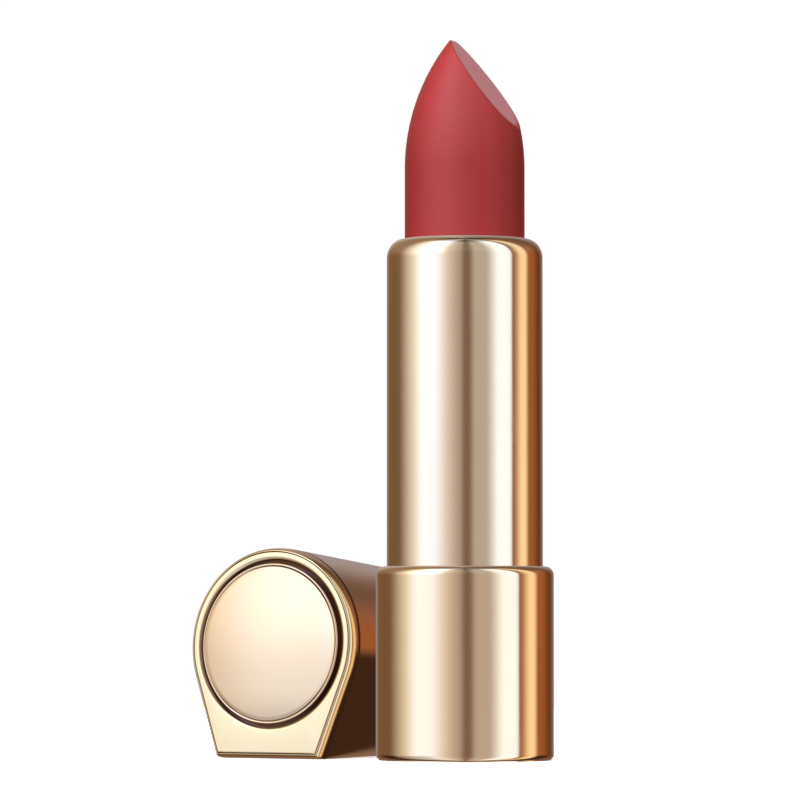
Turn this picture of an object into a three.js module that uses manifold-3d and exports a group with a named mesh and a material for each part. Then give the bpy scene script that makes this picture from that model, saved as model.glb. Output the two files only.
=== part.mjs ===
// A twist-up lipstick case with its bullet raised and its cap lying beside it.
// Millimetres, +Z up, origin at the centre of the base's underside. The cap lies along Y on its flat facet.
//
// The base is held; turning the sleeve about Z drives the cup down. Two lugs on the cup stand in the
// straight slots of the guide tube, which is keyed to the base, and in the helical slots of the spiral
// tube, which turns with the sleeve.
import * as THREE from "three";
import { ConvexGeometry } from "three/addons/geometries/ConvexGeometry.js";
import { mergeVertices } from "three/addons/utils/BufferGeometryUtils.js";
import Module from "manifold-3d";

const wasm = await Module();
wasm.setup();

// ---- clearances -------------------------------------------------------------------------------
const RUN = 0.08; // radial gap between pieces that turn or slide on each other
const SEAT = 0.05; // gap between pieces pressed or glued together
const STACK = 0.1; // axial gap between stacked pieces

// ---- bullet -----------------------------------------------------------------------------------
const BULLET_R = 6.35;
const BULLET_EXPOSED = 21.4; // tip above the sleeve's mouth when raised
const TIP_SUNK = 0.5; // tip below the mouth when lowered
const NOSE_ARC_R = 22; // radius of the ogive's side
const TIP_OFFSET = 1.41; // tip off the axis, away from the slanted face
const FACE_ANGLE = THREE.MathUtils.degToRad(37); // slanted face from the vertical
const FACE_AZIMUTH = THREE.MathUtils.degToRad(12); // way the slanted face looks, from +X
const SHANK_RELIEF = 0.2; // how much thinner the bullet is inside its cup

// ---- cup --------------------------------------------------------------------------------------
const CUP_WALL = 0.42;
const CUP_HEIGHT = 8.2;
const CUP_FLOOR = 0.8;
const CUP_VENT_R = 0.8;
const CUP_BELOW_LIP = 1.4; // cup's rim under the lip when raised
const LUG_R = 0.75;
const LUG_RISE = 2.3; // lug's centre above the cup's underside
const LUG_TIP_GAP = 0.12; // lug's end to the sleeve
const WINDOW = { width: 1.6, height: 2.6, fromRim: 1.2, count: 4 };

// ---- guide tube and spiral tube ---------------------------------------------------------------
const GUIDE_WALL = 0.6;
const SPIRAL_WALL = 0.47;
const SLOT_PLAY = 0.12; // on each side of a lug
const SLOT_END_PLAY = 0.3; // past each end of the lug's travel
const TWIST = THREE.MathUtils.degToRad(450); // sleeve's turn from raised to lowered
const FLANGE_THICKNESS = 1.0;
const GUIDE_FLOOR = 0.95;
const GUIDE_VENT_R = 2;
const KEY = { width: 1.2, depth: 0.4, leadIn: 3, count: 4 };

// ---- sleeve -----------------------------------------------------------------------------------
const SLEEVE_WALL = 0.35;
const SLEEVE_EXPOSED = 34.6; // above the base
const MOUTH_PLAY = 0.2; // mouth to bullet
const TUBE_BELOW_LIP = 0.2; // spiral's top under the start of the lip
const GUIDE_BELOW_SPIRAL = 0.2;

// ---- base -------------------------------------------------------------------------------------
const BASE_HEIGHT = 20.4;
const BASE_WALL = 0.5;
const BASE_LIP = 1.1; // thickness of the inturned top
const SHOULDER_FILLET = 0.95;
const FOOT_FILLET = 0.6;
const COLLAR_WALL = 0.52;
const COLLAR_HEIGHT = 2.0;
const DRAG_RING_SECTION = 1.0;
const PLATE_THICKNESS = 1.2;
const LABEL = { radius: 6.5, thickness: 0.15 };
const WEIGHT_HEIGHT = 4.85;
const WEIGHT_WALL = 1.3; // core wall around the weight
const WEB = 0.75; // core floor between weight and guide tube
const VENT_R = 1.5;

// ---- cap --------------------------------------------------------------------------------------
const LINER_PLAY = 0.03; // ribs to sleeve
const LINER_WALL = 0.45;
const LINER_END = 0.7;
const LINER_RECESS = 0.3; // liner's rim inside the mouth
const RIB = { height: 0.22, width: 0.8, from: 2, length: 10, count: 6 };
const HEADROOM = 0.7; // sleeve's mouth to the liner's end when closed
const END_WALL = 1.3;
const FRAME_THICKNESS = 1.5; // keyhole frame glued on the shell's end
const END_FLARE = 0.9; // end outline's arc beyond the mouth's radius
const FOOT_DROP = 1.85; // end outline's straight foot beyond its arc
const SIDE_ANGLE = THREE.MathUtils.degToRad(20); // end outline's straight sides, from the vertical
const END_FILLET = 0.6;
const SEAM_CHAMFER = 0.12; // both sides of the joint between shell and frame
const BEZEL = 1.38; // between groove and outline
const GROOVE = 0.33;
const MEDALLION = { proud: 0.2, dome: 0.5, edge: 0.15, underChamfer: 0.2 };
const PAD = { thickness: 0.2, inset: 0.5 };
const CAP_GAP = 0.55; // cap to base, side by side
const CAP_END_Y = -6.3; // the end face's centre

// ---- finish of the mesh -----------------------------------------------------------------------
const TURN = 40; // facets round a turned piece
const ARC_STEP = THREE.MathUtils.degToRad(30);

// ---- radii that follow, from the bullet outwards ----------------------------------------------
const SHANK_R = BULLET_R - SHANK_RELIEF;
const NOSE_ARC_X = BULLET_R - NOSE_ARC_R; // centre of the ogive's arc
const CUP_INNER = SHANK_R + SEAT;
const CUP_OUTER = CUP_INNER + CUP_WALL;
const GUIDE_INNER = CUP_OUTER + RUN;
const GUIDE_OUTER = GUIDE_INNER + GUIDE_WALL;
const SPIRAL_INNER = GUIDE_OUTER + RUN;
const SPIRAL_OUTER = SPIRAL_INNER + SPIRAL_WALL;
const SLEEVE_INNER = SPIRAL_OUTER + SEAT;
const SLEEVE_R = SLEEVE_INNER + SLEEVE_WALL;
const MOUTH_R = BULLET_R + MOUTH_PLAY;
const LIP_R = SLEEVE_R - MOUTH_R; // the lip is a quarter round
const COLLAR_INNER = SLEEVE_R + RUN;
const COLLAR_OUTER = COLLAR_INNER + COLLAR_WALL;
const BASE_INNER = COLLAR_OUTER + SEAT;
const BASE_R = BASE_INNER + BASE_WALL;
const FLANGE_R = (COLLAR_INNER + COLLAR_OUTER) / 2;
const FOOT_R = GUIDE_OUTER + BASE_WALL;
const SOCKET_R = FOOT_R + SEAT;
const WEIGHT_R = BASE_INNER - SEAT - WEIGHT_WALL;

// ---- heights that follow, in the base from the bottom up and from the top down ------------------
const CORE_BOTTOM = PLATE_THICKNESS + SEAT;
const WEIGHT_TOP = CORE_BOTTOM + SEAT + WEIGHT_HEIGHT;
const WEB_BOTTOM = WEIGHT_TOP + SEAT;
const SOCKET_BOTTOM = WEB_BOTTOM + WEB;
const COLLAR_TOP = BASE_HEIGHT - BASE_LIP - SEAT;
const COLLAR_BOTTOM = COLLAR_TOP - COLLAR_HEIGHT;
const FLANGE_TOP = COLLAR_BOTTOM - STACK;
const FLANGE_BOTTOM = FLANGE_TOP - FLANGE_THICKNESS;
const RING_MIDDLE = FLANGE_BOTTOM - SEAT - DRAG_RING_SECTION / 2;
const CORE_TOP = RING_MIDDLE - DRAG_RING_SECTION / 2 - SEAT;
const GUIDE_BOTTOM = SOCKET_BOTTOM + SEAT;
const SLEEVE_TOP = BASE_HEIGHT + SLEEVE_EXPOSED;
const LIP_START = SLEEVE_TOP - LIP_R;
const SPIRAL_TOP = LIP_START - TUBE_BELOW_LIP;
const GUIDE_TOP = SPIRAL_TOP - GUIDE_BELOW_SPIRAL;
const CUP_TOP = LIP_START - CUP_BELOW_LIP;
const CUP_BOTTOM = CUP_TOP - CUP_HEIGHT;
const LUG_Z = CUP_BOTTOM + LUG_RISE;
const TRAVEL = BULLET_EXPOSED + TIP_SUNK;
const TIP_Z = SLEEVE_TOP + BULLET_EXPOSED;
const NOSE_LENGTH = Math.sqrt(NOSE_ARC_R ** 2 - (TIP_OFFSET - NOSE_ARC_X) ** 2); // ogive's start to tip

// ---- the cap's own frame: Z from its mouth to its end, -Y towards the foot ----------------------
const MOUTH_OUTER = BASE_R; // flush with the base when closed
const LINER_CLEAR = SLEEVE_R + LINER_PLAY;
const LINER_INNER = LINER_CLEAR + RIB.height;
const LINER_OUTER = LINER_INNER + LINER_WALL;
const CAP_BORE = LINER_OUTER + SEAT;
const LINER_FLOOR = SLEEVE_EXPOSED + HEADROOM;
const LINER_TOP = LINER_FLOOR + LINER_END;
const BORE_END = LINER_TOP + SEAT;
const SHELL_END = BORE_END + END_WALL;
const FRAME_BACK = SHELL_END + SEAT;
const CAP_LENGTH = FRAME_BACK + FRAME_THICKNESS;
const END_R = MOUTH_OUTER + END_FLARE;
const FOOT_AT = END_R + FOOT_DROP;
const FRAME_HOLE_R = END_R - BEZEL;
const MEDALLION_R = FRAME_HOLE_R - GROOVE;
const CAP_TILT = Math.atan2(FOOT_AT - MOUTH_OUTER, SHELL_END - SEAM_CHAMFER);

// ---- helpers ----------------------------------------------------------------------------------
const point = (r, z) => new THREE.Vector2(r, z);

// Points of an arc about (r, z), from one angle to the other, in degrees.
function arc(r, z, radius, from, to) {
  const a = THREE.MathUtils.degToRad(from);
  const b = THREE.MathUtils.degToRad(to);
  const steps = Math.max(1, Math.ceil(Math.abs(b - a) / ARC_STEP));
  return Array.from({ length: steps + 1 }, (_, i) => {
    const t = a + ((b - a) * i) / steps;
    return point(r + radius * Math.cos(t), z + radius * Math.sin(t));
  });
}

// A profile of (radius, height) points turned about Z. It closes on itself or on the axis.
function turned(profile, facets = TURN) {
  const onAxis = profile.filter((p) => p.x === 0).length >= 2;
  const loop = onAxis ? [...profile] : [...profile, profile[0].clone()];
  if (THREE.ShapeUtils.area(profile) < 0) loop.reverse();
  return new THREE.LatheGeometry(loop, facets).rotateX(Math.PI / 2);
}

const tube = (inner, outer, bottom, top, facets) =>
  turned([point(outer, bottom), point(outer, top), point(inner, top), point(inner, bottom)], facets);

const disc = (radius, bottom, top, facets) =>
  turned([point(0, bottom), point(radius, bottom), point(radius, top), point(0, top)], facets);

// A block that stands off the Z axis: radial span, width across it, height span, turned to an angle.
function block(inner, outer, width, bottom, top, angle) {
  return new THREE.BoxGeometry(outer - inner, width, top - bottom)
    .translate((inner + outer) / 2, 0, (bottom + top) / 2)
    .rotateZ(angle);
}

const evenly = (count, make, from = 0) =>
  Array.from({ length: count }, (_, i) => make(from + (2 * Math.PI * i) / count));

// A closed three.js geometry as a manifold-3d solid.
function solid(geometry) {
  const bare = new THREE.BufferGeometry();
  bare.setAttribute("position", geometry.getAttribute("position"));
  if (geometry.index) bare.setIndex(geometry.index);
  const merged = mergeVertices(bare, 1e-4);
  return new wasm.Manifold(
    new wasm.Mesh({
      numProp: 3,
      vertProperties: new Float32Array(merged.getAttribute("position").array),
      triVerts: new Uint32Array(merged.index.array),
    }),
  );
}

function geometryOf(made) {
  const mesh = made.getMesh();
  const geometry = new THREE.BufferGeometry();
  geometry.setAttribute("position", new THREE.BufferAttribute(mesh.vertProperties, 3));
  geometry.setIndex(new THREE.BufferAttribute(mesh.triVerts, 1));
  geometry.computeVertexNormals();
  return geometry;
}

const cut = (geometry, tools) =>
  geometryOf(tools.reduce((left, tool) => left.subtract(solid(tool)), solid(geometry)));

const joined = (geometry, extras) =>
  geometryOf(extras.reduce((whole, extra) => whole.add(solid(extra)), solid(geometry)));

const finish = (color, roughness, metalness) =>
  new THREE.MeshStandardMaterial({ color, roughness, metalness });

const GOLD = finish(0xd9b878, 0.22, 1);
const STEEL = finish(0x9a9ca0, 0.45, 1);
const WHITE_PLASTIC = finish(0xe9e6df, 0.5, 0);
const SILICONE = finish(0xc9c7c2, 0.6, 0);
const WAX = finish(0xa8323c, 0.5, 0);
const PAPER = finish(0xf3efe6, 0.7, 0);
const FOAM = finish(0x3a3a3c, 0.9, 0);

function named(name, geometry, material) {
  const mesh = new THREE.Mesh(geometry, material);
  mesh.name = name;
  return mesh;
}

// ---- base: shell, closing plate, label, core, weight, drag ring and collar ----------------------
function baseShell() {
  return turned([
    ...arc(BASE_R - FOOT_FILLET, FOOT_FILLET, FOOT_FILLET, -60, 0),
    ...arc(BASE_R - SHOULDER_FILLET, BASE_HEIGHT - SHOULDER_FILLET, SHOULDER_FILLET, 0, 90),
    point(COLLAR_INNER, BASE_HEIGHT),
    point(COLLAR_INNER, BASE_HEIGHT - BASE_LIP),
    point(BASE_INNER, BASE_HEIGHT - BASE_LIP),
    point(BASE_INNER, 0),
    point(BASE_R - FOOT_FILLET / 2, 0),
  ]);
}

function bottomPlate() {
  const recess = LABEL.thickness + SEAT;
  return turned([
    point(0, recess),
    point(LABEL.radius + SEAT, recess),
    point(LABEL.radius + SEAT, 0),
    point(BASE_INNER - SEAT, 0),
    point(BASE_INNER - SEAT, PLATE_THICKNESS),
    point(0, PLATE_THICKNESS),
  ]);
}

const shadeLabel = () => disc(LABEL.radius, 0, LABEL.thickness);

function baseCore() {
  const core = turned([
    point(VENT_R, WEB_BOTTOM),
    point(WEIGHT_R, WEB_BOTTOM),
    point(WEIGHT_R, CORE_BOTTOM),
    point(BASE_INNER - SEAT, CORE_BOTTOM),
    point(BASE_INNER - SEAT, CORE_TOP),
    point(SOCKET_R, CORE_TOP),
    point(SOCKET_R, SOCKET_BOTTOM),
    point(VENT_R, SOCKET_BOTTOM),
  ]);
  const top = CORE_TOP - KEY.leadIn + SEAT;
  const outer = FOOT_R + KEY.depth + SEAT;
  const width = KEY.width + 2 * SEAT;
  return cut(
    core,
    evenly(KEY.count, (a) => block(FOOT_R - KEY.depth, outer, width, SOCKET_BOTTOM, top, a)),
  );
}

const baseWeight = () => tube(VENT_R, WEIGHT_R - SEAT, CORE_BOTTOM + SEAT, WEIGHT_TOP);

function dragRing() {
  const middle = (GUIDE_OUTER + RUN + FLANGE_R) / 2;
  return turned(arc(middle, RING_MIDDLE, DRAG_RING_SECTION / 2, 0, 330));
}

const retainingCollar = () => tube(COLLAR_INNER, COLLAR_OUTER, COLLAR_BOTTOM, COLLAR_TOP);

// The guide tube is keyed into the core, and its two straight slots run the lugs' travel.
function guideTube() {
  const footTop = CORE_TOP - 2 * SEAT;
  const body = turned([
    point(GUIDE_VENT_R, GUIDE_BOTTOM),
    point(FOOT_R, GUIDE_BOTTOM),
    point(FOOT_R, footTop - BASE_WALL),
    point(GUIDE_OUTER, footTop),
    point(GUIDE_OUTER, GUIDE_TOP),
    point(GUIDE_INNER, GUIDE_TOP),
    point(GUIDE_INNER, GUIDE_BOTTOM + GUIDE_FLOOR),
    point(GUIDE_VENT_R, GUIDE_BOTTOM + GUIDE_FLOOR),
  ]);
  const keyTop = CORE_TOP - KEY.leadIn;
  const keys = evenly(KEY.count, (a) =>
    block(GUIDE_INNER + GUIDE_WALL / 2, FOOT_R + KEY.depth, KEY.width, GUIDE_BOTTOM, keyTop, a),
  );
  const reach = LUG_R + SLOT_END_PLAY;
  const slots = evenly(2, (a) =>
    block(CUP_OUTER - GUIDE_WALL, GUIDE_OUTER + GUIDE_WALL, 2 * (LUG_R + SLOT_PLAY),
      LUG_Z - TRAVEL - reach, LUG_Z + reach, a),
  );
  return cut(joined(body, keys), slots);
}

// ---- sleeve and its spiral tube ---------------------------------------------------------------
function sleeveShell() {
  const bottom = FLANGE_TOP + STACK;
  return turned([
    point(SLEEVE_R, bottom),
    ...arc(MOUTH_R, LIP_START, LIP_R, 0, 90),
    ...arc(MOUTH_R, LIP_START, LIP_R - SLEEVE_WALL, 90, 0),
    point(SLEEVE_INNER, bottom),
  ]);
}

// A bar wrapped round Z along the lugs' helix, which climbs TRAVEL while it turns TWIST.
function helicalCutter(start) {
  const rise = TRAVEL / TWIST;
  const lead = Math.atan2(rise, (SPIRAL_INNER + SPIRAL_OUTER) / 2);
  const height = (2 * (LUG_R + SLOT_PLAY)) / Math.cos(lead);
  const overrun = (LUG_R + SLOT_END_PLAY) / SPIRAL_INNER;
  const sweep = TWIST + 2 * overrun;
  const steps = Math.round(sweep / (2 * Math.PI / TURN));
  const bar = new THREE.BoxGeometry(sweep, 4 * SPIRAL_WALL, height, steps, 1, 1);
  const at = bar.getAttribute("position");
  const radius = (SPIRAL_INNER + SPIRAL_OUTER) / 2;
  for (let i = 0; i < at.count; i++) {
    const turn = at.getX(i) - TWIST / 2;
    const out = radius + at.getY(i);
    const angle = start + turn;
    at.setXYZ(i, out * Math.cos(angle), out * Math.sin(angle), LUG_Z + turn * rise + at.getZ(i));
  }
  return bar;
}

// Orients a bar whose wrapping turned it inside out.
function facingOut(geometry) {
  if (solid(geometry).volume() > 0) return geometry;
  const index = geometry.index.array;
  for (let i = 0; i < index.length; i += 3) [index[i + 1], index[i + 2]] = [index[i + 2], index[i + 1]];
  return geometry;
}

function spiralTube() {
  const body = turned([
    point(SPIRAL_INNER, FLANGE_BOTTOM),
    point(FLANGE_R, FLANGE_BOTTOM),
    point(FLANGE_R, FLANGE_TOP),
    point(SPIRAL_OUTER, FLANGE_TOP),
    point(SPIRAL_OUTER, SPIRAL_TOP),
    point(SPIRAL_INNER, SPIRAL_TOP),
  ]);
  return cut(body, evenly(2, (a) => facingOut(helicalCutter(a))));
}

// ---- cup and bullet ---------------------------------------------------------------------------
function bulletCup() {
  const body = turned([
    point(CUP_VENT_R, CUP_BOTTOM),
    point(CUP_OUTER, CUP_BOTTOM),
    point(CUP_OUTER, CUP_TOP),
    point(CUP_INNER, CUP_TOP),
    point(CUP_INNER, CUP_BOTTOM + CUP_FLOOR),
    point(CUP_VENT_R, CUP_BOTTOM + CUP_FLOOR),
  ]);
  const windowTop = CUP_TOP - WINDOW.fromRim;
  const windows = evenly(
    WINDOW.count,
    (a) => block(CUP_INNER - CUP_WALL, CUP_OUTER + CUP_WALL, WINDOW.width, windowTop - WINDOW.height, windowTop, a),
    Math.PI / WINDOW.count,
  );
  const from = (CUP_INNER + CUP_OUTER) / 2;
  const to = SLEEVE_INNER - LUG_TIP_GAP;
  const lugs = evenly(2, (a) =>
    new THREE.CylinderGeometry(LUG_R, LUG_R, to - from, 12)
      .rotateZ(Math.PI / 2)
      .translate((from + to) / 2, 0, LUG_Z)
      .rotateZ(a),
  );
  return joined(cut(body, windows), lugs);
}

// The slanted face looks along +X before it is turned to its azimuth.
function bullet() {
  const shoulder = CUP_TOP + SHANK_RELIEF;
  const noseStart = TIP_Z - NOSE_LENGTH;
  const apexTurn = Math.acos(-NOSE_ARC_X / NOSE_ARC_R);
  const steps = 8;
  const nose = Array.from({ length: steps }, (_, i) => {
    const t = (apexTurn * i) / steps;
    return point(NOSE_ARC_X + NOSE_ARC_R * Math.cos(t), noseStart + NOSE_ARC_R * Math.sin(t));
  });
  const apex = noseStart + NOSE_ARC_R * Math.sin(apexTurn);
  const body = turned([
    point(0, CUP_BOTTOM + CUP_FLOOR + SEAT),
    point(SHANK_R, CUP_BOTTOM + CUP_FLOOR + SEAT),
    point(SHANK_R, shoulder),
    point(BULLET_R, shoulder + SHANK_RELIEF),
    ...nose,
    point(0, apex),
  ]);
  const size = 4 * NOSE_LENGTH;
  const waste = new THREE.BoxGeometry(size, size, size)
    .translate(size / 2, 0, 0)
    .rotateY(-FACE_ANGLE)
    .translate(-TIP_OFFSET, 0, TIP_Z)
    .rotateZ(FACE_AZIMUTH);
  return cut(body, [waste]);
}

// ---- cap --------------------------------------------------------------------------------------
// The end's outline: an arc whose tangents run down to a straight foot. Inset moves all of it inwards.
function endOutline(inset) {
  const radius = END_R - inset;
  const foot = FOOT_AT - inset;
  const corner = (radius - foot * Math.sin(SIDE_ANGLE)) / Math.cos(SIDE_ANGLE);
  const round = Array.from({ length: TURN + 1 }, (_, i) => {
    const t = -SIDE_ANGLE + ((Math.PI + 2 * SIDE_ANGLE) * i) / TURN;
    return [radius * Math.cos(t), radius * Math.sin(t)];
  });
  return [...round, [-corner, -foot], [corner, -foot]];
}

const outlineAt = (inset, z) => endOutline(inset).map(([x, y]) => new THREE.Vector3(x, y, z));

// Round at the mouth and drawn out to the end's outline, with flat facets between the two.
function capShell() {
  const mouth = evenly(
    2 * TURN,
    (a) => new THREE.Vector3(MOUTH_OUTER * Math.cos(a), MOUTH_OUTER * Math.sin(a), 0),
    -Math.PI / 2,
  );
  const end = [...outlineAt(0, SHELL_END - SEAM_CHAMFER), ...outlineAt(SEAM_CHAMFER, SHELL_END)];
  return cut(new ConvexGeometry([...mouth, ...end]), [disc(CAP_BORE, -1, BORE_END)]);
}

function capEndFrame() {
  const points = [...outlineAt(SEAM_CHAMFER, FRAME_BACK), ...outlineAt(0, FRAME_BACK + SEAM_CHAMFER)];
  for (const turn of [0, 30, 60, 90]) {
    const t = THREE.MathUtils.degToRad(turn);
    const inset = END_FILLET * (1 - Math.cos(t));
    points.push(...outlineAt(inset, CAP_LENGTH - END_FILLET * (1 - Math.sin(t))));
  }
  return cut(new ConvexGeometry(points), [disc(FRAME_HOLE_R, FRAME_BACK - 1, CAP_LENGTH + 1)]);
}

function capLiner() {
  const cup = turned([
    point(0, LINER_FLOOR),
    point(LINER_INNER, LINER_FLOOR),
    point(LINER_INNER, LINER_RECESS),
    point(LINER_OUTER, LINER_RECESS),
    point(LINER_OUTER, LINER_TOP),
    point(0, LINER_TOP),
  ]);
  const ribs = evenly(RIB.count, (a) =>
    block(LINER_CLEAR, LINER_INNER + LINER_WALL / 2, RIB.width, RIB.from, RIB.from + RIB.length, a));
  return joined(cup, ribs);
}

function medallion() {
  const bottom = SHELL_END + PAD.thickness + 2 * SEAT;
  const top = CAP_LENGTH + MEDALLION.proud;
  const face = MEDALLION_R - MEDALLION.edge;
  const domeR = (face * face + MEDALLION.dome ** 2) / (2 * MEDALLION.dome);
  const rings = 4;
  const dome = Array.from({ length: rings }, (_, i) => {
    const r = face * (1 - i / rings);
    return point(r, top + MEDALLION.dome - domeR + Math.sqrt(domeR * domeR - r * r));
  });
  return turned([
    point(0, bottom),
    point(MEDALLION_R - MEDALLION.underChamfer, bottom),
    point(MEDALLION_R, bottom + MEDALLION.underChamfer),
    point(MEDALLION_R, top - MEDALLION.edge),
    ...dome,
    point(0, top + MEDALLION.dome),
  ]);
}

const medallionPad = () =>
  disc(MEDALLION_R - PAD.inset, SHELL_END + SEAT, SHELL_END + SEAT + PAD.thickness);

// The cap lies with its foot and the lowest point of its mouth on the ground.
function cap() {
  const group = new THREE.Group();
  group.add(
    named("cap_shell", capShell(), GOLD),
    named("cap_end_frame", capEndFrame(), GOLD),
    named("cap_liner", capLiner(), WHITE_PLASTIC),
    named("medallion", medallion(), GOLD),
    named("medallion_pad", medallionPad(), FOAM),
  );
  group.rotation.x = Math.PI / 2 - CAP_TILT;
  group.position.set(
    -(BASE_R + END_R + CAP_GAP),
    CAP_END_Y + CAP_LENGTH * Math.cos(CAP_TILT),
    MOUTH_OUTER * Math.cos(CAP_TILT),
  );
  return group;
}

const lipstick = new THREE.Group();
lipstick.add(
  named("base_shell", baseShell(), GOLD),
  named("bottom_plate", bottomPlate(), GOLD),
  named("shade_label", shadeLabel(), PAPER),
  named("base_core", baseCore(), WHITE_PLASTIC),
  named("base_weight", baseWeight(), STEEL),
  named("drag_ring", dragRing(), SILICONE),
  named("retaining_collar", retainingCollar(), WHITE_PLASTIC),
  named("guide_tube", guideTube(), WHITE_PLASTIC),
  named("spiral_tube", spiralTube(), WHITE_PLASTIC),
  named("sleeve_shell", sleeveShell(), GOLD),
  named("bullet_cup", bulletCup(), WHITE_PLASTIC),
  named("bullet", bullet(), WAX),
  cap(),
);

export default lipstick;
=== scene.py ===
import math

import bmesh
import bpy
from mathutils import Matrix, Vector


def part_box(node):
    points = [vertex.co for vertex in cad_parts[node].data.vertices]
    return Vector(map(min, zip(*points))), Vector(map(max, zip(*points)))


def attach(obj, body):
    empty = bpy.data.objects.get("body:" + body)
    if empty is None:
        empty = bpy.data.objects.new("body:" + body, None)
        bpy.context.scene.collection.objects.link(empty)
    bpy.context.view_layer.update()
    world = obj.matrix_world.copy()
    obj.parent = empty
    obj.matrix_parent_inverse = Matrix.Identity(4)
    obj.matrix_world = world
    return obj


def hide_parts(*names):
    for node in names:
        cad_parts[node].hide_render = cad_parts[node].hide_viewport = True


bl_info = {
    "name": "Twist-up lipstick case",
    "version": (1, 0, 0),
    "blender": (4, 5, 0),
    "location": "View3D > Sidebar > Lipstick",
    "description": "Finishes a packed lipstick case: turned gold shells, wax bullet and keyhole-ended cap",
    "category": "Object",
}

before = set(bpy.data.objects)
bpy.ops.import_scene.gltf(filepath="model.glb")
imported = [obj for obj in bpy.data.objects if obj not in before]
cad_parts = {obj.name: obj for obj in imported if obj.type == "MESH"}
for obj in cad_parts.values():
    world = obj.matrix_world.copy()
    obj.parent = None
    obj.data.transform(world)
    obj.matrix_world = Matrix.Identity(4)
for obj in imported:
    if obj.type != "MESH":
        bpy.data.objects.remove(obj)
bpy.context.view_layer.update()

MM = 0.001
WELD = 1e-7  # vertices closer than this are one
SAME_LEVEL = 0.001 * MM  # heights closer than this are one level
FLAT_ENDS = 0.05 * MM  # how close to a straight's ends the points stand that keep it flat
SHARP = math.radians(35)  # edges that fold by more than this stay crisp


def node_box(node):
    """(lowest corner, highest corner) of a CAD node as vectors."""
    low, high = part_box(node)
    return Vector(low), Vector(high)


BASE = node_box("base_shell")
SLEEVE = node_box("sleeve_shell")
BULLET = node_box("bullet")
CUP = node_box("bullet_cup")
LABEL = node_box("shade_label")
PLATE = node_box("bottom_plate")
CAP = node_box("cap_shell")


# ---- settings ----------------------------------------------------------------------------------
def length(name, description, default_mm):
    return bpy.props.FloatProperty(
        name=name, description=description, default=default_mm * MM, unit="LENGTH", subtype="DISTANCE"
    )


def angle(name, description, degrees):
    return bpy.props.FloatProperty(
        name=name, description=description, default=math.radians(degrees), unit="ROTATION", subtype="ANGLE"
    )


def tint(name, description, rgb):
    return bpy.props.FloatVectorProperty(
        name=name, description=description, default=rgb, size=3, min=0.0, max=1.0, subtype="COLOR"
    )


class LipstickCaseSettings(bpy.types.PropertyGroup):
    """Sizes of the base, the sleeve and what closes the base."""

    sleeve_wall: length("Sleeve wall", "Thickness of the sleeve's metal", 0.35)
    lip_width: length("Lip width", "How far the sleeve's mouth rolls in", 1.7)
    lip_height: length("Lip height", "Height over which the sleeve's mouth rolls in", 2.05)
    base_wall: length("Base wall", "Thickness of the base's metal", 0.5)
    base_lip: length("Base lip", "Thickness of the base's inturned top", 1.1)
    base_edge: length("Base edge", "Rounding of the base's mouth", 0.1)
    base_mouth_gap: length("Base mouth gap", "Gap between the base's mouth and the sleeve", 0.08)
    shoulder: length("Shoulder radius", "Radius of the base's shoulder", 0.95)
    foot: length("Foot radius", "Radius of the base's foot", 0.6)
    plate_edge: length("Plate edge", "Rounding of the bottom plate's edges", 0.12)
    label_gap: length("Label gap", "Gap between the label and its recess", 0.05)


class LipstickBulletSettings(bpy.types.PropertyGroup):
    """The wax stick and the shape of its tip."""

    nose_arc: length("Nose arc", "Radius of the nose's side", 22)
    tip_offset: length("Tip offset", "Tip off the axis, away from the slanted face", 1.41)
    face_slant: angle("Face slant", "Slanted face from the vertical", 37)
    face_azimuth: angle("Face azimuth", "Way the slanted face looks, from +X", 12)
    edge: length("Edge", "Softness of the slanted face's edge", 0.07)
    nib: length("Nib", "Height over which the tip is blunted", 0.35)
    heel: length("Heel", "Broken edge at the stick's lower end", 0.1)
    shank_relief: length("Shank relief", "How much thinner the stick is inside its cup", 0.2)


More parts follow.
